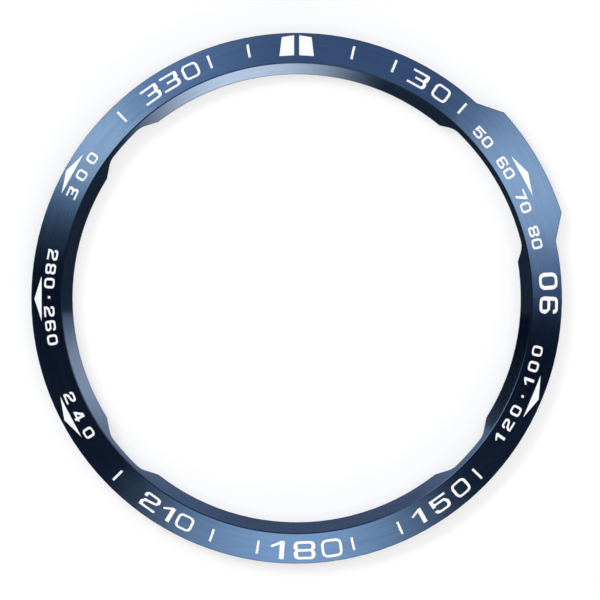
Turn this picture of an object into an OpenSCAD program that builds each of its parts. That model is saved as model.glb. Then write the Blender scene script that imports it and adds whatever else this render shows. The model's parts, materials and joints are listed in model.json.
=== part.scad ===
// Stick-on bezel ring for a large outdoor sports watch, lying flat with its face up.
// Millimetres. The origin is on the ring's axis, level with the foot of the wall that goes round
// the opening, and +Z is up. The lip is the slope from the top of that wall to the face.
// Twelve o'clock is +Y and three o'clock is +X. Angles of marks and cuts are clock angles:
// degrees from twelve o'clock, clockwise as seen from above.

/* [Ring] */
// Radius of the clear opening
hole_r = 21.12; // [18.6:0.02:27]
// How far the lip runs outwards from the opening to the face, seen from above
lip_run = 1.05; // [0.9:0.01:1.3]
// Width of the face, seen from above
face_w = 2.83; // [2.56:0.01:3.6]
// Height of the inner edge of the face above the foot of the wall
top_z = 2.2; // [1.8:0.05:3.5]
// Angle at which the face falls away outwards
face_slope = 9; // [3:0.5:16]
// Height of the underside of the plate above the foot of the wall
plate_z = 0.6; // [0.3:0.05:0.8]
// Thickness of the wall round the opening, below the plate
wall_t = 0.5; // [0.4:0.02:0.6]
// Angle at which the lip rises outwards from the opening
lip_slope = 36; // [25:1:50]
// Radius of the rounded inner edge of the face
edge_r = 0.16; // [0.06:0.01:0.25]
// Radius of the rounded outer edge of the face
rim_edge_r = 0.06; // [0.04:0.01:0.2]
// Radius of the rounded edges of the underside and of the opening
under_edge_r = 0.08; // [0.04:0.01:0.12]

/* [Button guard] */
// How far the guard stands out from the ring, over the upper right button
guard_proud = 1.23; // [0.5:0.01:2.5]
// Clock angle of the middle of the guard
guard_angle = 60.1; // [50:0.1:70]
// Half the angle that the full height of the guard takes up
guard_half = 11.95; // [8:0.05:14]
// Angle that each sloping end of the guard takes up
guard_ramp = 5.45; // [4:0.05:7]

/* [Lip notches] */
// How far the notches reach into the lip from the opening
notch_depth = 0.67; // [0.3:0.01:0.8]
// Clock angle of the short notches from the line through twelve and six o'clock
notch_angle = 48; // [40:0.5:55]
// Half the angle of a short notch at its widest, at the opening
notch_half = 9.8; // [7:0.1:14]
// Angle that each slanted side of a short notch takes up
notch_side = 4.2; // [2:0.1:6]
// Half the angle of the long notch under the guard at its widest
long_notch_half = 20.5; // [16:0.1:24]
// Angle that each slanted side of the long notch takes up
long_notch_side = 3.3; // [2:0.1:6]
// Radius of the rounded corners at the outer end of each notch
notch_round = 2; // [0.5:0.1:2.2]

/* [Adhesive ring] */
// Thickness of the adhesive
tape_t = 0.15; // [0.08:0.01:0.3]
// How far the adhesive stands out of its groove
tape_proud = 0.03; // [0.01:0.005:0.05]
// Gap between the wall and the adhesive
tape_wall_gap = 0.8; // [0.5:0.05:1.1]
// Gap between the adhesive and the outer radius of the ring
tape_rim_gap = 0.45; // [0.3:0.05:0.9]
// Clearance between the adhesive and each wall of its groove
tape_clearance = 0.05; // [0.02:0.01:0.1]

/* [Engraving] */
// Depth of the engraved marks below the face
engrave_depth = 0.15; // [0.08:0.01:0.25]
// How far the enamel stays below the face
enamel_recess = 0.02; // [0.01:0.005:0.04]

/* [Large numerals] */
// Gap between the inner edge of the face and the numerals
number_margin = 0.71; // [0.6:0.01:0.84]
// Height of the ordinary numerals
number_h = 1.47; // [1.1:0.01:1.5]
// Width of a digit of the ordinary numerals
number_w = 1.76; // [1.3:0.02:1.85]
// Width of a zero of the ordinary numerals
zero_w = 1.67; // [1.3:0.01:1.8]
// Height of the digits of 90 and 180
tall_h = 1.75; // [1.4:0.01:1.76]
// Width of a digit of 90
width_90 = 1.62; // [1.3:0.02:1.8]
// Width of the 1 and the 8 of 180
width_180 = 2.06; // [1.5:0.02:2.1]
// Width of the zero of 180
zero_w_180 = 1.97; // [1.5:0.01:2.1]
// Width of the upright strokes of the ordinary numerals
number_side = 0.34; // [0.24:0.01:0.38]
// Width of the upright strokes of 90 and 180
tall_side = 0.38; // [0.26:0.01:0.42]
// Width of the level strokes of the ordinary numerals
number_bar = 0.21; // [0.16:0.01:0.24]
// Width of the level strokes of 90 and 180
tall_bar = 0.26; // [0.18:0.01:0.28]
// Width of the upright strokes of a zero, but for that of 90
zero_side = 0.26; // [0.18:0.01:0.34]
// Clock angle of the middle of 30
angle_30 = 32.2; // [31:0.1:32.8]
// Clock angle of the middle of 90
angle_90 = 88.85; // [87:0.1:91]
// Clock angle of the middle of 150
angle_150 = 145; // [144:0.1:146.5]
// Clock angle of the middle of 180
angle_180 = 178.2; // [177:0.1:179]
// Clock angle of the middle of 210
angle_210 = 211.1; // [208:0.1:215]
// Clock angle of the middle of 330
angle_330 = 329.8; // [326:0.1:331]
// Distance from one digit of 30 to the next
pitch_30 = 2.45; // [2.1:0.01:2.6]
// Distance from one digit of 90 to the next
pitch_90 = 2.26; // [1.9:0.01:2.5]
// Distance from one digit of 150 to the next
pitch_150 = 2.43; // [2.1:0.01:2.5]
// Distance from one digit of 180 to the next
pitch_180 = 2.58; // [2.3:0.01:2.6]
// Distance from one digit of 210 to the next
pitch_210 = 1.88; // [1.86:0.01:2.4]
// Distance from one digit of 330 to the next
pitch_330 = 2.15; // [2.1:0.01:2.3]

/* [Small numerals] */
// Gap between the inner edge of the face and the small numerals on the right
small_margin = 0.54; // [0.35:0.01:0.6]
// Gap between the inner edge of the face and the small numerals on the left
left_small_margin = 0.66; // [0.45:0.01:0.7]
// Height of the small numerals
small_h = 1; // [0.8:0.02:1.1]
// Width of a small digit
small_w = 1; // [0.7:0.02:1.1]
// Width of the upright strokes of the small numerals
small_side = 0.24; // [0.16:0.01:0.26]
// Width of the level strokes of the small numerals
small_bar = 0.18; // [0.13:0.01:0.2]
// Clock angle of the middle of the row from 50 to 80
row_60 = 62.5; // [61.5:0.1:63]
// Clock angle of the middle of the row of 120 and 100
row_110 = 113.5; // [110:0.1:114]
// Clock angle of the middle of 240
row_240 = 241.7; // [239:0.1:244]
// Clock angle of the middle of the row of 280 and 260
row_270 = 270.2; // [268:0.1:272]
// Clock angle of the middle of 300
row_300 = 299.8; // [296:0.1:302]
// Distance from one digit to the next in the row from 50 to 80
pitch_50_80 = 1.195; // [1.15:0.005:1.25]
// Distance from one digit to the next in the row of 120 and 100
pitch_100_120 = 1.5; // [1.2:0.01:1.6]
// Distance from one digit to the next in 240 and in 300
pitch_240_300 = 1.87; // [1.2:0.01:2]
// Distance from one digit to the next in the row of 280 and 260
pitch_260_280 = 1.34; // [1.2:0.01:1.5]

/* [Arrowheads] */
// Clock angle of the arrowhead at 60
arrow_60 = 61.5; // [60:0.1:63]
// Clock angle of the arrowhead at 110
arrow_110 = 112.7; // [110:0.1:114]
// Clock angle of the arrowhead at 240
arrow_240 = 242.3; // [239:0.1:244]
// Clock angle of the arrowhead at 270
arrow_270 = 269.9; // [266:0.1:272]
// Clock angle of the arrowhead at 300
arrow_300 = 299; // [294:0.1:302]
// Gap between the inner edge of the face and the base of an arrowhead
arrow_foot_margin = 1.85; // [1.8:0.01:2]
// Gap between the outer edge of the face and the tip of an arrowhead
arrow_margin = 0.28; // [0.26:0.01:0.4]
// How much further out the arrowheads at 60 and 300 are than the others
high_arrow_shift = 0.12; // [0:0.01:0.14]
// Width of the base of an arrowhead
arrow_w = 4.28; // [2.5:0.02:5]

/* [Twelve o'clock mark] */
// Gap between the two bars of the mark
north_gap = 0.47; // [0.3:0.01:0.8]
// Half the width of the mark at its outer end
north_top_half = 1.41; // [0.9:0.01:1.7]
// Half the width of the mark at its inner end
north_foot_half = 1.63; // [1:0.01:1.9]
// How much further in the outer end of the mark is at its sides
north_top_bend = 0.2; // [0.05:0.01:0.25]
// How much further in the inner end of the mark is at its sides
north_foot_bend = 0.08; // [0:0.01:0.15]
// Gap between the inner edge of the face and the middle of the mark's inner end
north_foot_margin = 0.71; // [0.4:0.01:0.9]
// Gap between the outer edge of the face and the middle of the mark's outer end
north_margin = 0.19; // [0.17:0.01:0.3]

/* [Ticks] */
// Clock angles of the ticks
tick_angles = [12.9, 22.8, 41.1, 134.2, 155.8, 167.1, 188.9, 199.7, 225.3, 316.1, 339.8, 349]; // [0:0.1:360]
// Length of a tick
tick_l = 1.26; // [0.8:0.02:1.3]
// Width of a tick
tick_w = 0.23; // [0.14:0.01:0.3]
// Gap between the inner edge of the face and a tick
tick_margin = 0.92; // [0.5:0.01:1.1]

/* [Hidden] */
$fn = 64;

steel_blue = [0.26, 0.38, 0.56];
adhesive_grey = [0.16, 0.16, 0.17];
enamel_white = [0.97, 0.97, 0.97];

// Cuts run this far past the surface that they open
over = 0.4;
// Steps of a rounded edge of the section, and of a rounded corner of a digit or a notch
edge_steps = 4;
corner_steps = 3;

// The radii of the section, each from the one inside it
notch_r = hole_r + notch_depth;
face_r = hole_r + lip_run;
outer_r = face_r + face_w;
guard_r = outer_r + guard_proud;

// Height of the face at a radius
function face_z(r) = top_z - (r - face_r) * tan(face_slope);
// A point at a radius and a clock angle
function clock(r, angle) = [r * sin(angle), r * cos(angle)];

// Height of the wall at the opening
wall_top_z = top_z - lip_run * tan(lip_slope);
wall_outer_r = hole_r + wall_t;
groove_z = plate_z + tape_t - tape_proud;
tape_in_r = wall_outer_r + tape_wall_gap;
tape_out_r = outer_r - tape_rim_gap;
// Widths of a digit and of a zero, height, widths of an upright stroke, of that of a zero and
// of a level stroke, and the gap to the inner edge of the face
ordinary = [number_w, zero_w, number_h, number_side, zero_side, number_bar, number_margin];
style_90 = [width_90, width_90, tall_h, tall_side, tall_side, tall_bar, number_margin];
style_180 = [width_180, zero_w_180, tall_h, tall_side, zero_side, tall_bar, number_margin];
small = [small_w, small_w, small_h, small_side, small_side, small_bar, small_margin];
left_small = [small_w, small_w, small_h, small_side, small_side, small_bar, left_small_margin];
blank = -1;
dot = -2;

// Points of an arc
function arc(centre, r, from, to, steps) =
    [for (i = [0:steps]) let (a = from + (to - from) * i / steps) centre + r * [cos(a), sin(a)]];

// Points that round a corner of the section, where a side in direction a0 turns right to a1
function round_edge(corner, r, a0, a1) =
    let (back = r * tan((a0 - a1) / 2))
    let (centre = corner + back * [cos(a1), sin(a1)] + r * [sin(a1), -cos(a1)])
    arc(centre, r, a0 + 90, a1 + 90, edge_steps);

// Outer side of the section at a radius, from the face down to the underside
function rim(r) = concat(
    round_edge([r, face_z(r)], rim_edge_r, -face_slope, -90),
    round_edge([r, plate_z], under_edge_r, -90, -180)
);

// Section of the ring out to the guard, drawn from the foot of the wall up its inner side
section = concat(
    [[hole_r, 0]],
    round_edge([hole_r, wall_top_z], under_edge_r, 90, lip_slope),
    round_edge([face_r, top_z], edge_r, lip_slope, -face_slope),
    rim(guard_r),
    [[wall_outer_r, plate_z]],
    round_edge([wall_outer_r, 0], under_edge_r, -90, -180)
);

// Section of what is outside the ring where there is no guard. The first and the last side of
// its rim run on past the face and the underside.
function beyond(edge) = concat(
    [2 * edge[0] - edge[1]],
    [for (i = [1:len(edge) - 2]) edge[i]],
    [2 * edge[len(edge) - 1] - edge[len(edge) - 2]],
    [[guard_r + over, plate_z - over], [guard_r + over, top_z + over]]
);

// Ends of one sloping end of the guard: at the ring's rim, and at the guard's own radius
function guard_low(side) = clock(outer_r, guard_angle + side * (guard_half + guard_ramp));
function guard_high(side) = clock(guard_r, guard_angle + side * guard_half);

// Plan of the guard: its sloping ends run on into the ring and past the guard's own radius
module guard_plan() {
    ends = [for (side = [-1, 1])
        let (low = guard_low(side), run = guard_high(side) - low)
        [low - 0.5 * run, low + 2 * run]];
    polygon([ends[0][0], ends[0][1], ends[1][1], ends[1][0]]);
}

// Bevels the upper edge of one sloping end of the guard
module guard_bevel(side) {
    low = guard_low(side);
    run = guard_high(side) - low;
    fall = face_z(outer_r) - face_z(guard_r);
    translate([low[0], low[1], face_z(outer_r)])
    rotate([0, 0, atan2(run[1], run[0])])
    rotate([0, atan2(fall, norm(run)), 0])
    rotate([side * 45, 0, 0])
    translate([-norm(run), -2 * over, -rim_edge_r * 0.5])
    cube([3 * norm(run), 4 * over, 4 * over]);
}

// Leaves the guard and takes away all else that is outside the ring
module guard_cut() {
    difference() {
        rotate_extrude()
        polygon(beyond(rim(outer_r)));
        difference() {
            linear_extrude(top_z + 2 * over)
            guard_plan();
            for (side = [-1, 1]) guard_bevel(side);
        }
    }
}

// Points of one side of a notch, from inside the opening, round its outer corner and on past the
// notch's outer end. The side runs from foot to end, and inward points from it into the notch.
function notch_edge(foot, end, inward) =
    let (along = (end - foot) / norm(end - foot))
    let (start = foot + notch_round * inward)
    let (step = sqrt(pow(notch_r - notch_round, 2) - start * start + pow(start * along, 2)) - start * along)
    let (centre = start + step * along)
    let (from = atan2(-inward[1], -inward[0]))
    let (turn = (atan2(centre[1], centre[0]) - from + 540) % 360 - 180)
    let (bend = arc(centre, notch_round, from, from + turn, corner_steps))
    let (last = bend[corner_steps])
    concat([foot - over * along], bend, [2 * last - bend[corner_steps - 1]]);

// One notch through the wall and the lip: its sides slant in from the opening to its outer end
module notch(angle, half, side_angle) {
    edges = [for (side = [-1, 1])
        let (foot = clock(hole_r, angle + side * half))
        let (end = clock(notch_r, angle + side * (half - side_angle)))
        let (along = (end - foot) / norm(end - foot))
        notch_edge(foot, end, -side * [along[1], -along[0]])];
    count = len(edges[0]);
    far = clock(notch_r * 1.2, angle);
    translate([0, 0, -over])
    intersection() {
        cylinder(r = notch_r, h = top_z + 2 * over);
        linear_extrude(top_z + 2 * over)
        polygon(concat([[0, 0]], edges[0], [far], [for (i = [1:count]) edges[1][count - i]]));
    }
}

module notches() {
    for (angle = [180 - notch_angle, 180 + notch_angle, 360 - notch_angle])
        notch(angle, notch_half, notch_side);
    notch(guard_angle, long_notch_half, long_notch_side);
}

// Outline of a box with four corner radii: top right, top left, bottom left, bottom right
function corner(x, y, sx, sy, r) =
    let (from = sx > 0 ? (sy > 0 ? 0 : 270) : (sy > 0 ? 90 : 180))
    r > 0 ? arc([x - sx * r, y - sy * r], r, from, from + 90, corner_steps) : [[x, y]];
function box(x0, y0, x1, y1, r) = concat(
    corner(x1, y1, 1, 1, r[0]),
    corner(x0, y1, -1, 1, r[1]),
    corner(x0, y0, -1, -1, r[2]),
    corner(x1, y0, 1, -1, r[3])
);
function all_round(r) = [r, r, r, r];
square_cut = [0, 0, 0, 0];

// Takes the sharp corner off a stroke at [x, y]: sx and sy point from the stroke to outside it
module clip_corner(x, y, sx, sy, size) {
    polygon([[x - sx * size, y], [x + sx * over, y], [x + sx * over, y - sy * (size + over)]]);
}

// The pinched waist of 3 and 8 on one side
module waist_cut(x, sx, bar) {
    deep = bar * 0.7;
    polygon([[x - sx * deep, 0], [x + sx * over, deep + over], [x + sx * over, -deep - over]]);
}

// How far the open end of a stroke hooks back, measured from the top or the foot of the digit
function hook(y, bar) = bar + (y - 1.5 * bar) * 0.42;

// A digit is a box with its inner spaces cut out. It is centred, and x and y are half its size.
module zero(x, y, side, bar) {
    r = y * 0.6;
    difference() {
        polygon(box(-x, -y, x, y, all_round(r)));
        polygon(box(-x + side, -y + bar, x - side, y - bar, all_round(r - bar)));
    }
}

module one(x, y, side, bar) {
    right = x * 0.65;
    left = right - side * 1.2;
    flag = x * 0.88;
    drop = y * 0.58;
    polygon([
        [right, -y],
        [right, y],
        [left + side * 0.3, y],
        [left - flag, y - drop],
        [left - flag + bar * 0.6, y - drop - bar * 0.7],
        [left, y - bar * 1.4],
        [left, -y]
    ]);
}

module two(x, y, side, bar) {
    tilt = y * 0.12;
    difference() {
        polygon(box(-x, -y, x, y, [y * 0.5, y * 0.5, 0, 0]));
        polygon([
            [x - side - bar * 0.5, y - bar],
            [-x + side, y - bar],
            [-x + side, y - 1.3 * hook(y, bar)],
            [-x - over, y - 1.3 * hook(y, bar)],
            [-x - over, -bar / 2 - side - over],
            [-x + side * 0.8, bar / 2 - tilt],
            [x - side, bar / 2 + tilt],
            [x - side, y - bar * 1.5]
        ]);
        polygon([
            [x + over, -y + bar],
            [x + over, -bar / 2 + tilt + side * 0.8 + over],
            [x - side * 0.8, -bar / 2 + tilt],
            [-x + side * 1.5, -bar / 2 - tilt],
            [-x + side, -bar - tilt],
            [-x + side, -y + bar]
        ]);
    }
}

module three(x, y, side, bar) {
    foot = x * 1.1;
    difference() {
        polygon(box(-foot, -y, x, y, [y * 0.22, 0, 0, y * 0.5]));
        polygon(box(-foot - over, 0, -x, y + over, square_cut));
        polygon([
            [-x - over, y - bar],
            [x - side, y - bar],
            [x - side * 1.4, bar / 2],
            [-x * 0.45, bar / 2],
            [-x * 0.45, -bar / 2],
            [x - side * 1.4, -bar / 2],
            [x - side, -bar],
            [x - side, -y + bar * 1.5],
            [x - side - bar * 0.5, -y + bar],
            [-foot - over, -y + bar],
            [-foot - over, bar / 2]
        ]);
        waist_cut(x, 1, bar);
    }
}

module four(x, y, side, bar) {
    foot = -y * 0.45;
    stem = x * 0.2;
    difference() {
        polygon([
            [stem, -y],
            [stem + side, -y],
            [stem + side, foot - bar / 2],
            [x, foot - bar / 2],
            [x, foot + bar / 2],
            [stem + side, foot + bar / 2],
            [stem + side, y],
            [stem - side * 0.5, y],
            [-x, foot + bar / 2],
            [-x, foot - bar / 2],
            [stem, foot - bar / 2]
        ]);
        polygon([[stem, foot + bar / 2], [stem, y - bar * 1.6], [-x + side * 1.2, foot + bar / 2]]);
    }
}

module five(x, y, side, bar) {
    high = y * 0.22 + bar / 2;
    low = high - bar;
    r = min(bar, (low + y - bar) * 0.45);
    difference() {
        polygon(box(-x, -y, x, y, [0, 0, y * 0.5, y * 0.5]));
        polygon(box(-x + side, high, x + over, y - bar, square_cut));
        clip_corner(x, high, 1, 1, side);
        polygon(box(-x + side, -y + bar, x - side, low, [r, 0, r, r]));
        polygon(box(-x - over, -y + hook(y, bar), 0, low - bar * 0.5, square_cut));
    }
}

module six(x, y, side, bar) {
    difference() {
        polygon(box(-x, -y, x, y, all_round(y * 0.5)));
        polygon(box(-x + side, -y + bar, x - side, -bar / 2, all_round(bar * 0.5)));
        polygon(box(-x + side, bar / 2, x - side, y - bar, [bar * 0.5, bar * 0.5, 0, 0]));
        polygon(box(0, bar / 2, x + over, y - hook(y, bar), square_cut));
        clip_corner(x, bar / 2, 1, 1, side);
    }
}

module seven(x, y, side, bar) {
    polygon([
        [-x, y],
        [x, y],
        [x, y - bar],
        [-x * 0.1 + side / 2, -y],
        [-x * 0.1 - side * 0.7, -y],
        [x - side * 1.3, y - bar],
        [-x, y - bar]
    ]);
}

module eight(x, y, side, bar) {
    difference() {
        polygon(box(-x, -y, x, y, all_round(y * 0.5)));
        polygon(box(-x + side, bar / 2, x - side, y - bar, all_round(bar * 0.5)));
        polygon(box(-x + side, -y + bar, x - side, -bar / 2, all_round(bar * 0.5)));
        waist_cut(x, 1, bar);
        waist_cut(-x, -1, bar);
    }
}

module digit(value, style) {
    x = style[0] / 2;
    y = style[2] / 2;
    side = style[3];
    bar = style[5];
    if (value == 0) zero(style[1] / 2, y, style[4], bar);
    if (value == 1) one(x, y, side, bar);
    if (value == 2) two(x, y, side, bar);
    if (value == 3) three(x, y, side, bar);
    if (value == 4) four(x, y, side, bar);
    if (value == 5) five(x, y, side, bar);
    if (value == 6) six(x, y, side, bar);
    if (value == 7) seven(x, y, side, bar);
    if (value == 8) eight(x, y, side, bar);
    if (value == 9) rotate(180) six(x, y, side, bar);
    if (value == dot) square(side, center = true);
}

// Puts a flat shape on the face, with its own y axis outwards, or inwards where outward is false.
// The shape is given a thickness from one height to another, measured square to the face.
module on_face(angle, r, outward, low, high) {
    rotate([0, 0, -angle])
    translate([0, r, face_z(r)])
    rotate([-face_slope, 0, 0])
    translate([0, 0, low])
    linear_extrude(high - low)
    rotate(outward ? 0 : 180)
    children();
}

// A row of digits along the face, centred on an angle
module number(style, values, angle, pitch, outward, low, high) {
    r = face_r + style[6] + style[2] / 2;
    step = (outward ? 1 : -1) * pitch / r * 180 / PI;
    for (i = [0:len(values) - 1])
        if (values[i] != blank)
            on_face(angle + step * (i - (len(values) - 1) / 2), r, outward, low, high)
            digit(values[i], style);
}

// Each mark from here on is one shape, used for its cut and for its enamel
module mark_30(low, high) number(ordinary, [3, 0], angle_30, pitch_30, true, low, high);
module mark_90(low, high) number(style_90, [9, 0], angle_90, pitch_90, false, low, high);
module mark_150(low, high) number(ordinary, [1, 5, 0], angle_150, pitch_150, false, low, high);
module mark_180(low, high) number(style_180, [1, 8, 0], angle_180, pitch_180, false, low, high);
module mark_210(low, high) number(ordinary, [2, 1, 0], angle_210, pitch_210, false, low, high);
module mark_330(low, high) number(ordinary, [3, 3, 0], angle_330, pitch_330, true, low, high);

module mark_50_80(low, high) {
    number(small, [5, 0, blank, 6, 0, blank, 7, 0, blank, 8, 0], row_60, pitch_50_80, true, low, high);
}

module mark_120_100(low, high) {
    number(small, [1, 2, 0, dot, 1, 0, 0], row_110, pitch_100_120, false, low, high);
}

module mark_240(low, high) number(left_small, [2, 4, 0], row_240, pitch_240_300, false, low, high);

module mark_280_260(low, high) {
    number(left_small, [2, 8, 0, dot, 2, 6, 0], row_270, pitch_260_280, false, low, high);
}

module mark_300(low, high) number(left_small, [3, 0, 0], row_300, pitch_240_300, true, low, high);

module arrow(angle, shift, low, high) {
    arrow_h = face_w - arrow_foot_margin - arrow_margin;
    on_face(angle, face_r + arrow_foot_margin + shift, true, low, high)
    polygon([[0, arrow_h], [-arrow_w / 2, 0], [arrow_w / 2, 0]]);
}

// One bar of the twelve o'clock mark, on the side that the sign gives
module north_bar(side, low, high) {
    north_h = face_w - north_foot_margin - north_margin;
    on_face(0, face_r + north_foot_margin, true, low, high)
    polygon([
        [side * north_gap / 2, north_h],
        [side * north_top_half, north_h - north_top_bend],
        [side * north_foot_half, -north_foot_bend],
        [side * north_gap / 2, 0]
    ]);
}

module ticks(low, high) {
    for (angle = tick_angles)
        on_face(angle, face_r + tick_margin + tick_l / 2, true, low, high)
        square([tick_w, tick_l], center = true);
}

module all_marks(low, high) {
    for (side = [-1, 1]) north_bar(side, low, high);
    ticks(low, high);
    mark_30(low, high);
    mark_90(low, high);
    mark_150(low, high);
    mark_180(low, high);
    mark_210(low, high);
    mark_330(low, high);
    mark_50_80(low, high);
    mark_120_100(low, high);
    mark_240(low, high);
    mark_280_260(low, high);
    mark_300(low, high);
    for (angle = [arrow_60, arrow_300]) arrow(angle, high_arrow_shift, low, high);
    for (angle = [arrow_110, arrow_240, arrow_270]) arrow(angle, 0, low, high);
}

module tape_groove() {
    rotate_extrude()
    polygon([
        [tape_in_r - tape_clearance, plate_z - over],
        [tape_out_r + tape_clearance, plate_z - over],
        [tape_out_r + tape_clearance, groove_z],
        [tape_in_r - tape_clearance, groove_z]
    ]);
}

module bezel_ring() {
    color(steel_blue)
    difference() {
        rotate_extrude()
        polygon(section);
        guard_cut();
        notches();
        tape_groove();
        all_marks(-engrave_depth, over);
    }
}

module adhesive_ring() {
    color(adhesive_grey)
    rotate_extrude()
    polygon([
        [tape_in_r, groove_z - tape_t],
        [tape_out_r, groove_z - tape_t],
        [tape_out_r, groove_z],
        [tape_in_r, groove_z]
    ]);
}

fill_low = -engrave_depth;
fill_high = -enamel_recess;

module north_fill_left() color(enamel_white) north_bar(-1, fill_low, fill_high);
module north_fill_right() color(enamel_white) north_bar(1, fill_low, fill_high);
module tick_fill() color(enamel_white) ticks(fill_low, fill_high);
module number_fill_30() color(enamel_white) mark_30(fill_low, fill_high);
module number_fill_90() color(enamel_white) mark_90(fill_low, fill_high);
module number_fill_150() color(enamel_white) mark_150(fill_low, fill_high);
module number_fill_180() color(enamel_white) mark_180(fill_low, fill_high);
module number_fill_210() color(enamel_white) mark_210(fill_low, fill_high);
module number_fill_330() color(enamel_white) mark_330(fill_low, fill_high);
module small_fill_50_to_80() color(enamel_white) mark_50_80(fill_low, fill_high);
module small_fill_120_100() color(enamel_white) mark_120_100(fill_low, fill_high);
module small_fill_240() color(enamel_white) mark_240(fill_low, fill_high);
module small_fill_280_260() color(enamel_white) mark_280_260(fill_low, fill_high);
module small_fill_300() color(enamel_white) mark_300(fill_low, fill_high);
module arrow_fill_60() color(enamel_white) arrow(arrow_60, high_arrow_shift, fill_low, fill_high);
module arrow_fill_110() color(enamel_white) arrow(arrow_110, 0, fill_low, fill_high);
module arrow_fill_240() color(enamel_white) arrow(arrow_240, 0, fill_low, fill_high);
module arrow_fill_270() color(enamel_white) arrow(arrow_270, 0, fill_low, fill_high);
module arrow_fill_300() color(enamel_white) arrow(arrow_300, high_arrow_shift, fill_low, fill_high);

bezel_ring();
adhesive_ring();
north_fill_left();
north_fill_right();
tick_fill();
number_fill_30();
number_fill_90();
number_fill_150();
number_fill_180();
number_fill_210();
number_fill_330();
small_fill_50_to_80();
small_fill_120_100();
small_fill_240();
small_fill_280_260();
small_fill_300();
arrow_fill_60();
arrow_fill_110();
arrow_fill_240();
arrow_fill_270();
arrow_fill_300();
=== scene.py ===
import json
import math

import bmesh
import bpy
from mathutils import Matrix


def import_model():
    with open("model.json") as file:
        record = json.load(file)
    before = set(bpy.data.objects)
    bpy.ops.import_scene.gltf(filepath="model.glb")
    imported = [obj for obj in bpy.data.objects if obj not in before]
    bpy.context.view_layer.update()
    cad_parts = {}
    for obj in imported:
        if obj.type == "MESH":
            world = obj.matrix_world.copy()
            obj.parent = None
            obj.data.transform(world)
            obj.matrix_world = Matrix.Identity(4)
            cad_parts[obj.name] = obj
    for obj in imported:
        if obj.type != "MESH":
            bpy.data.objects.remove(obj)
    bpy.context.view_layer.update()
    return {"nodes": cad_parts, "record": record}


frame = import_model()

MM = 0.001

# The ring's radii, as in the part's source, in metres
HOLE_R = 21.12 * MM
FACE_R = 22.17 * MM
OUTER_R = 25.0 * MM

# Where the photograph shows the ring: the picture's side, the ring's centre from its left and top sides and
# the outer radius, in pixels
PICTURE = 600
RING_X = 296.65
RING_Y = 298.21
RING_PX = 265.4
# Heights of the camera and of the edge that makes the ring's outline, in metres
CAMERA_Z = 1.5
OUTLINE_Z = 1.7 * MM


# Shader helpers

def add(tree, kind, links=None, **settings):
    """A shader node. links gives its inputs by name or number: sockets are joined and values are set."""
    made = tree.nodes.new(kind)
    for name, value in settings.items():
        setattr(made, name, value)
    for key, value in (links or {}).items():
        if isinstance(value, bpy.types.NodeSocket):
            tree.links.new(value, made.inputs[key])
        else:
            made.inputs[key].default_value = value
    return made


def maths(tree, operation, a, b=0.0):
    return add(tree, "ShaderNodeMath", {0: a, 1: b}, operation=operation).outputs[0]


def product(tree, *factors):
    result = factors[0]
    for factor in factors[1:]:
        result = maths(tree, "MULTIPLY", result, factor)
    return result


def vector_maths(tree, operation, a, b=(0, 0, 0), out=0):
    return add(tree, "ShaderNodeVectorMath", {0: a, 1: b}, operation=operation).outputs[out]


def scaled(tree, vector, factor):
    return add(tree, "ShaderNodeVectorMath", {0: vector, "Scale": factor}, operation="SCALE").outputs[0]


def height_of(tree, vector):
    return add(tree, "ShaderNodeSeparateXYZ", {0: vector}).outputs["Z"]


def level(tree, vector):
    """The vector without its height."""
    return vector_maths(tree, "MULTIPLY", vector, (1, 1, 0))


def ramp(tree, value, low, high, out_low=0.0, out_high=1.0):
    """value from low to high, as out_low to out_high, with soft ends."""
    links = {"Value": value, "From Min": low, "From Max": high, "To Min": out_low, "To Max": out_high}
    return add(tree, "ShaderNodeMapRange", links, interpolation_type="SMOOTHSTEP").outputs["Result"]


def fade(tree, mask, off, on):
    """off where the mask is 0, on where it is 1."""
    return ramp(tree, mask, 0.0, 1.0, off, on)


def noise(tree, vector, scale, detail=2.0, roughness=0.5):
    links = {"Vector": vector, "Scale": scale, "Detail": detail, "Roughness": roughness}
    return add(tree, "ShaderNodeTexNoise", links).outputs["Fac"]


def spread(tree, pattern, low=0.0, high=1.0, reach=0.2):
    """A noise, from reach below its middle to reach above that, as low to high."""
    return ramp(tree, pattern, 0.5 - reach, 0.5 + reach, low, high)


def varied(tree, pattern, share):
    """A factor that a noise varies about 1, by a share of it up and down."""
    return spread(tree, pattern, 1.0 - share, 1.0 + share)


def mix(tree, factor, a, b):
    made = add(tree, "ShaderNodeMix", {"Factor": factor}, data_type="RGBA")
    for socket, value in ((made.inputs[6], a), (made.inputs[7], b)):
        if isinstance(value, bpy.types.NodeSocket):
            tree.links.new(value, socket)
        else:
            socket.default_value = (*value, 1)
    return made.outputs[2]


def new_material(name):
    """A material with an empty Principled surface. Returns it, its node tree and the shader."""
    material = bpy.data.materials.new(name)
    material.use_nodes = True
    tree = material.node_tree
    return material, tree, tree.nodes["Principled BSDF"]


def set_sockets(shader, values):
    for name, value in values.items():
        shader.inputs[name].default_value = value


def set_bump(tree, shader, pattern, strength, depth):
    links = {"Strength": strength, "Distance": depth, "Height": pattern}
    tree.links.new(add(tree, "ShaderNodeBump", links).outputs[0], shader.inputs["Normal"])


# Materials

FACE_BLUE = (0.065, 0.119, 0.201)
LIP_BLUE = (0.092, 0.123, 0.181)
BARE_STEEL = (0.34, 0.40, 0.48)
STEEL_EDGE_TINT = (0.3, 0.35, 0.42)
ENAMEL_WHITES = ((0.95, 0.95, 0.945), (0.98, 0.98, 0.98))
ADHESIVE_GREYS = ((0.022, 0.022, 0.024), (0.05, 0.05, 0.052))

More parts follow.
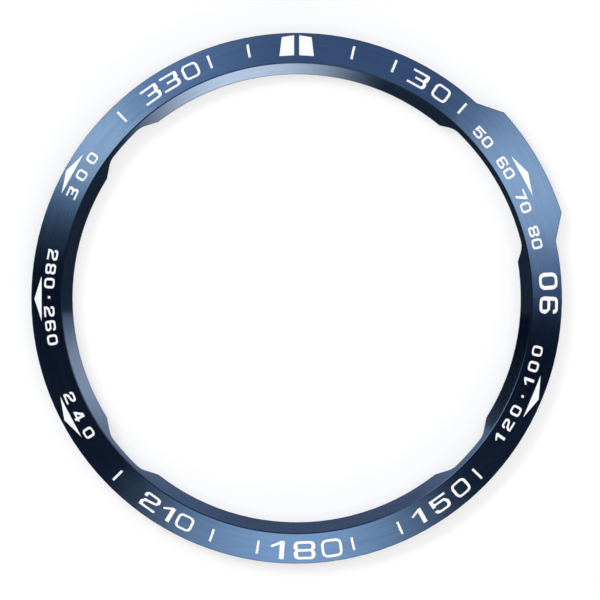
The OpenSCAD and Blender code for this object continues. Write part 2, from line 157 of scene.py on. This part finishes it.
# How finely the patterns change, per metre: the steel's brush lines, broader bands of them, clouds and wear,
# the enamel's clouds and grain, and the adhesive's clouds and pores
LINES = 22000.0
BANDS = 3500.0
CLOUDS = 120.0
WEAR = 900.0
ENAMEL_CLOUDS = 900.0
ENAMEL_GRAIN = 2500.0
ADHESIVE_CLOUDS = 400.0
PORES = 5000.0
# Shares by which the steel's patterns vary its tone, and how much of the lines is left on the lip
LINE_SHARE = 0.11
BAND_SHARE = 0.04
CLOUD_SHARE = 0.03
LIP_LINES = 0.5
# Painted shade: how dark the coating is painted along the corner between lip and face and on the rounded
# edges, against 1 elsewhere
CORNER_PAINTED_SHADE = 0.45
ROUNDED_PAINTED_SHADE = 0.3
# The rim is worn from the first level of the wear's noise, and fully from the second, where it shows this
# share of bare steel
WORN_FROM = (0.5, 0.7)
WORN = 0.2
# Least and most roughness, and how much less the steel's is on the lip
STEEL_ROUGH = (0.14, 0.17)
LIP_LESS_ROUGH = 0.02
ENAMEL_ROUGH = (0.28, 0.42)
ADHESIVE_ROUGH = (0.45, 0.7)

# The radii between which the face's finish gives way to the lip's
LIP_START = (FACE_R + 0.02 * MM, FACE_R - 0.06 * MM)
# Distances from the corner at which its painted dark line of shade ends and is at its full, and the same for
# the painted shade on rounded edges
CORNER_END = 0.09 * MM
CORNER_FULL = 0.04 * MM
ROUNDED_END = 0.12 * MM
ROUNDED_FULL = 0.08 * MM
# Limits on how far up a surface faces, as the height of its normal of length 1: where a mask is 0 and where
# it is 1. The face's normal is 0.99 high, the lip's 0.81 and an upright wall's 0.
STEEPER_THAN_FACE = (0.97, 0.95)
STEEPER_THAN_LIP = (0.79, 0.77)
NOT_UPRIGHT = (0.02, 0.1)
FACES_UP = (0.5, 0.6)


def brush_lines(tree, outward, across, fineness, along, detail, roughness):
    """Noise in lines round the ring. It changes fineness times a metre across them, and slowly along them,
    where it is taken from a circle whose radius is along."""
    step = add(tree, "ShaderNodeCombineXYZ", {"Z": maths(tree, "MULTIPLY", across, fineness)}).outputs[0]
    return noise(tree, vector_maths(tree, "ADD", scaled(tree, outward, along), step), 1.0, detail, roughness)


def painted_shade_corner_line(tree, radius, upward):
    """1 along the corner between lip and face, where shade is painted, and 0 elsewhere."""
    lip_side = ramp(tree, radius, FACE_R - CORNER_END, FACE_R - CORNER_FULL)
    face_side = ramp(tree, radius, FACE_R + CORNER_END, FACE_R + CORNER_FULL)
    return product(tree, lip_side, face_side, ramp(tree, upward, *FACES_UP))


def rounded_edges(tree, radius, upward):
    """1 on the rounded edge of the rim and guard, and 1 on that and on the rounded edge of the opening, where
    shade is painted and the rim's wear shows.
    """
    rim = ramp(tree, radius, OUTER_R - ROUNDED_END, OUTER_R - ROUNDED_FULL)
    rim = product(tree, rim, ramp(tree, upward, *STEEPER_THAN_FACE))
    brink = ramp(tree, radius, HOLE_R + ROUNDED_END, HOLE_R + ROUNDED_FULL)
    brink = product(tree, brink, ramp(tree, upward, *STEEPER_THAN_LIP))
    return rim, product(tree, maths(tree, "MAXIMUM", rim, brink), ramp(tree, upward, *NOT_UPRIGHT))


def blue_steel():
    """Blue-coated steel, brushed round the ring, with a smoother lip, slightly worn edges and painted shade
    along the corner and the rounded edges.
    """
    material, tree, shader = new_material("blue_brushed_steel")
    place = add(tree, "ShaderNodeTexCoord").outputs["Object"]
    flat = level(tree, place)
    radius = vector_maths(tree, "LENGTH", flat, out="Value")
    outward = vector_maths(tree, "NORMALIZE", flat)
    upward = height_of(tree, add(tree, "ShaderNodeNewGeometry").outputs["Normal"])

    # The height counts too, so that the lines run round the upright walls as well
    across = maths(tree, "ADD", radius, height_of(tree, place))
    fine = brush_lines(tree, outward, across, LINES, along=5.0, detail=3.0, roughness=0.6)
    broad = brush_lines(tree, outward, across, BANDS, along=3.0, detail=2.0, roughness=0.5)
    cloud = noise(tree, place, CLOUDS)

    on_lip = ramp(tree, radius, *LIP_START)
    # Masks of the corner, where shade is painted, and of the rounded edges, where shade is painted and the
    # rim wears
    painted_corner_shade = painted_shade_corner_line(tree, radius, upward)
    rim, rounded_shade_and_wear = rounded_edges(tree, radius, upward)
    streaks = product(tree, spread(tree, fine, -LINE_SHARE, LINE_SHARE), fade(tree, on_lip, 1.0, LIP_LINES))
    # Painted shade: the coating is painted darker along the corner and on the rounded edges
    tone_and_painted_shade = product(
        tree,
        maths(tree, "ADD", 1.0, streaks),
        varied(tree, broad, BAND_SHARE),
        varied(tree, cloud, CLOUD_SHARE),
        fade(tree, painted_corner_shade, 1.0, CORNER_PAINTED_SHADE),
        fade(tree, rounded_shade_and_wear, 1.0, ROUNDED_PAINTED_SHADE),
    )
    coating_and_painted_shade = scaled(tree, mix(tree, on_lip, FACE_BLUE, LIP_BLUE), tone_and_painted_shade)
    wear = ramp(tree, noise(tree, place, WEAR, detail=3.0), *WORN_FROM, 0.0, WORN)
    worn = product(tree, rounded_shade_and_wear, rim, wear)
    tree.links.new(mix(tree, worn, coating_and_painted_shade, BARE_STEEL), shader.inputs["Base Color"])

    rough = spread(tree, fine, *STEEL_ROUGH, reach=0.25)
    rough = maths(tree, "ADD", rough, fade(tree, on_lip, 0.0, -LIP_LESS_ROUGH))
    tree.links.new(rough, shader.inputs["Roughness"])
    tree.links.new(outward, shader.inputs["Tangent"])
    set_bump(tree, shader, fine, strength=0.12, depth=0.002 * MM)
    set_sockets(shader, {"Metallic": 1.0, "Anisotropic": 0.97, "Specular Tint": (*STEEL_EDGE_TINT, 1)})
    return material


def enamel():
    """White enamel, a little uneven where it was poured."""
    material, tree, shader = new_material("white_enamel")
    place = add(tree, "ShaderNodeTexCoord").outputs["Object"]
    cloud = noise(tree, place, ENAMEL_CLOUDS, detail=3.0)
    tree.links.new(mix(tree, spread(tree, cloud), *ENAMEL_WHITES), shader.inputs["Base Color"])
    tree.links.new(spread(tree, cloud, *ENAMEL_ROUGH, reach=0.3), shader.inputs["Roughness"])
    set_bump(tree, shader, noise(tree, place, ENAMEL_GRAIN), strength=0.15, depth=0.01 * MM)
    return material


def adhesive():
    """Dark foam adhesive with fine pores and a slightly tacky sheen."""
    material, tree, shader = new_material("foam_adhesive")
    place = add(tree, "ShaderNodeTexCoord").outputs["Object"]
    pores = add(tree, "ShaderNodeTexVoronoi", {"Vector": place, "Scale": PORES}).outputs["Distance"]
    cloud = noise(tree, place, ADHESIVE_CLOUDS, detail=4.0, roughness=0.6)
    tree.links.new(mix(tree, spread(tree, cloud), *ADHESIVE_GREYS), shader.inputs["Base Color"])
    tree.links.new(spread(tree, cloud, *ADHESIVE_ROUGH), shader.inputs["Roughness"])
    set_bump(tree, shader, pores, strength=0.4, depth=0.02 * MM)
    return material


FINISHES = {"blue_steel": blue_steel(), "adhesive": adhesive(), "enamel": enamel()}
for part in frame["record"]["subparts"]:
    mesh = frame["nodes"][part["node"]].data
    mesh.materials.clear()
    mesh.materials.append(FINISHES[part["material_slot"]])


# Studio

# The floor's radius, how far it is below the ring's foot, in metres, and its grey
FLOOR_R = 4.0
FLOOR_DROP = 0.01 * MM
FLOOR_GREY = 0.4
# What it adds to the lamps' light on it, to look white
FLOOR_GLOW = 0.62

# The lamps: the clock angle of the middle, degrees from there to where the light begins to fall and to where
# it ends, and colour, where 1 is white. Most of these values, and the gaps' colour, began as the result of
# another program's least-squares fit to the ring's brightness in the photograph. They were then rounded, and
# some were changed by trial.
# High lamps, which the face mirrors
HIGH_LAMPS = (
    # Strip on the upper right, which lights the guard
    (63.0, 1, 27.5, (3.70, 3.13, 2.65)),
    # Broad strip below six o'clock
    (181.5, 1, 46.5, (3.50, 3.34, 3.41)),
    # Strip on the upper left, and a wide weak one behind it
    (308.5, 1, 18.5, (2.50, 1.90, 1.20)),
    (320.0, 7, 45.0, (0.90, 0.88, 0.92)),
    # Weak sky over the upper half
    (12.0, 76, 87.0, (0.61, 0.66, 0.89)),
)
# The one bright lamp at middle height, and the weak ring lamp there
MIDDLE_LAMPS = ((310.0, 6, 33.0, (8.6, 9.4, 10.0)),)
RING_COLOUR = (0.80, 0.78, 0.70)
# Low lamps, which the lip mirrors from across the ring
LOW_LAMPS = (
    # Bright strip below, and a wide blue one behind it
    (166.0, 3, 37.5, (5.30, 4.92, 4.08)),
    (166.0, 18, 46.0, (0.00, 0.03, 0.28)),
    # Strip on the right, a wider one above it and the end of that
    (71.0, 5, 17.0, (1.20, 1.10, 0.90)),
    (58.0, 1, 30.0, (0.80, 0.78, 0.72)),
    (29.0, 2, 14.0, (0.14, 0.17, 0.24)),
    # Small one on the upper left
    (313.0, 3, 18.0, (0.30, 0.37, 0.42)),
    # Weak sky over the upper half, and a weaker one over the rest
    (15.0, 71, 72.0, (0.48, 0.57, 0.72)),
    (180.5, 93, 95.0, (0.08, 0.11, 0.12)),
)
# The gaps between the lamps
GAP_COLOUR = (0.001, 0.007, 0.036)

# Where a zone of lamps ends and where it is full, in degrees from straight up. The high lamps lie outside the
# top and within HIGH, the middle ones outside that and within MIDDLE, and the low ones outside LOW.
TOP = (13, 8)
HIGH = (36, 30)
MIDDLE = (51, 46)
LOW = (58, 62)
# Where the pale backdrop ends and where it is full, as the height of a direction of length 1
BACKDROP = (0.05, 0.03)


def floor():
    """A pale floor. It is white where nothing shades it, to the camera and in reflections alike."""
    bm = bmesh.new()
    bmesh.ops.create_circle(bm, cap_ends=True, segments=96, radius=FLOOR_R)
    mesh = bpy.data.meshes.new("floor")
    bm.to_mesh(mesh)
    bm.free()
    made = bpy.data.objects.new("floor", mesh)
    made.location.z = -FLOOR_DROP
    bpy.context.scene.collection.objects.link(made)
    material, tree, shader = new_material("pale_floor")
    grey = (FLOOR_GREY, FLOOR_GREY, FLOOR_GREY, 1)
    set_sockets(shader, {"Base Color": grey, "Roughness": 0.8, "Specular IOR Level": 0.0})
    rays = add(tree, "ShaderNodeLightPath").outputs
    seen = maths(tree, "MAXIMUM", rays["Is Camera Ray"], rays["Is Glossy Ray"])
    seen = maths(tree, "MAXIMUM", seen, rays["Is Transmission Ray"])
    shader.inputs["Emission Color"].default_value = (1, 1, 1, 1)
    tree.links.new(maths(tree, "MULTIPLY", seen, FLOOR_GLOW), shader.inputs["Emission Strength"])
    mesh.materials.append(material)


def cosine(degrees):
    return math.cos(math.radians(degrees))


def lamp_light(tree, outward, lamps):
    """The light that lamps send from the clock angle that outward points to."""
    total = None
    for clock, full, end, colour in lamps:
        middle = (math.sin(math.radians(clock)), cosine(clock), 0)
        towards = vector_maths(tree, "DOT_PRODUCT", outward, middle, out="Value")
        links = {"Value": towards, "From Min": cosine(end), "From Max": cosine(full)}
        share = add(tree, "ShaderNodeMapRange", links).outputs["Result"]
        light = scaled(tree, colour, maths(tree, "MULTIPLY", share, share))
        total = light if total is None else vector_maths(tree, "ADD", total, light)
    return total


def zone(tree, up, end, full):
    """1 on full's side of a zone's edge, where up is the height of a direction, and 0 on end's side."""
    return ramp(tree, up, cosine(end), cosine(full))


def world():
    """Soft lamps at three heights round the ring, with dark gaps between them, above a pale backdrop."""
    made = bpy.data.worlds.new("studio")
    made.use_nodes = True
    tree = made.node_tree
    towards = add(tree, "ShaderNodeTexCoord").outputs["Generated"]
    up = height_of(tree, towards)
    outward = vector_maths(tree, "NORMALIZE", level(tree, towards))
    within_high = zone(tree, up, *HIGH)
    high = maths(tree, "SUBTRACT", within_high, zone(tree, up, *TOP))
    middle = maths(tree, "SUBTRACT", zone(tree, up, *MIDDLE), within_high)
    low = zone(tree, up, *LOW)
    light = vector_maths(tree, "ADD", GAP_COLOUR, scaled(tree, RING_COLOUR, middle))
    for lamps, share in ((HIGH_LAMPS, high), (MIDDLE_LAMPS, middle), (LOW_LAMPS, low)):
        light = vector_maths(tree, "ADD", light, scaled(tree, lamp_light(tree, outward, lamps), share))
    to_camera = add(tree, "ShaderNodeLightPath").outputs["Is Camera Ray"]
    pale = maths(tree, "MAXIMUM", ramp(tree, up, *BACKDROP), to_camera)
    tree.links.new(mix(tree, pale, light, (1, 1, 1)), tree.nodes["Background"].inputs["Color"])
    bpy.context.scene.world = made


def camera():
    """Straight above the ring, with the ring where the photograph has it."""
    per_metre = RING_PX / OUTER_R
    data = bpy.data.cameras.new("camera")
    data.sensor_width = 36.0
    data.lens = per_metre * (CAMERA_Z - OUTLINE_Z) * data.sensor_width / PICTURE
    data.clip_start = 0.1
    data.clip_end = 20.0
    made = bpy.data.objects.new("camera", data)
    middle = PICTURE / 2
    made.location = ((middle - RING_X) / per_metre, (RING_Y - middle) / per_metre, CAMERA_Z)
    bpy.context.scene.collection.objects.link(made)
    bpy.context.scene.camera = made


floor()
world()
camera()

view_settings = bpy.context.scene.view_settings
view_settings.view_transform = "Standard"
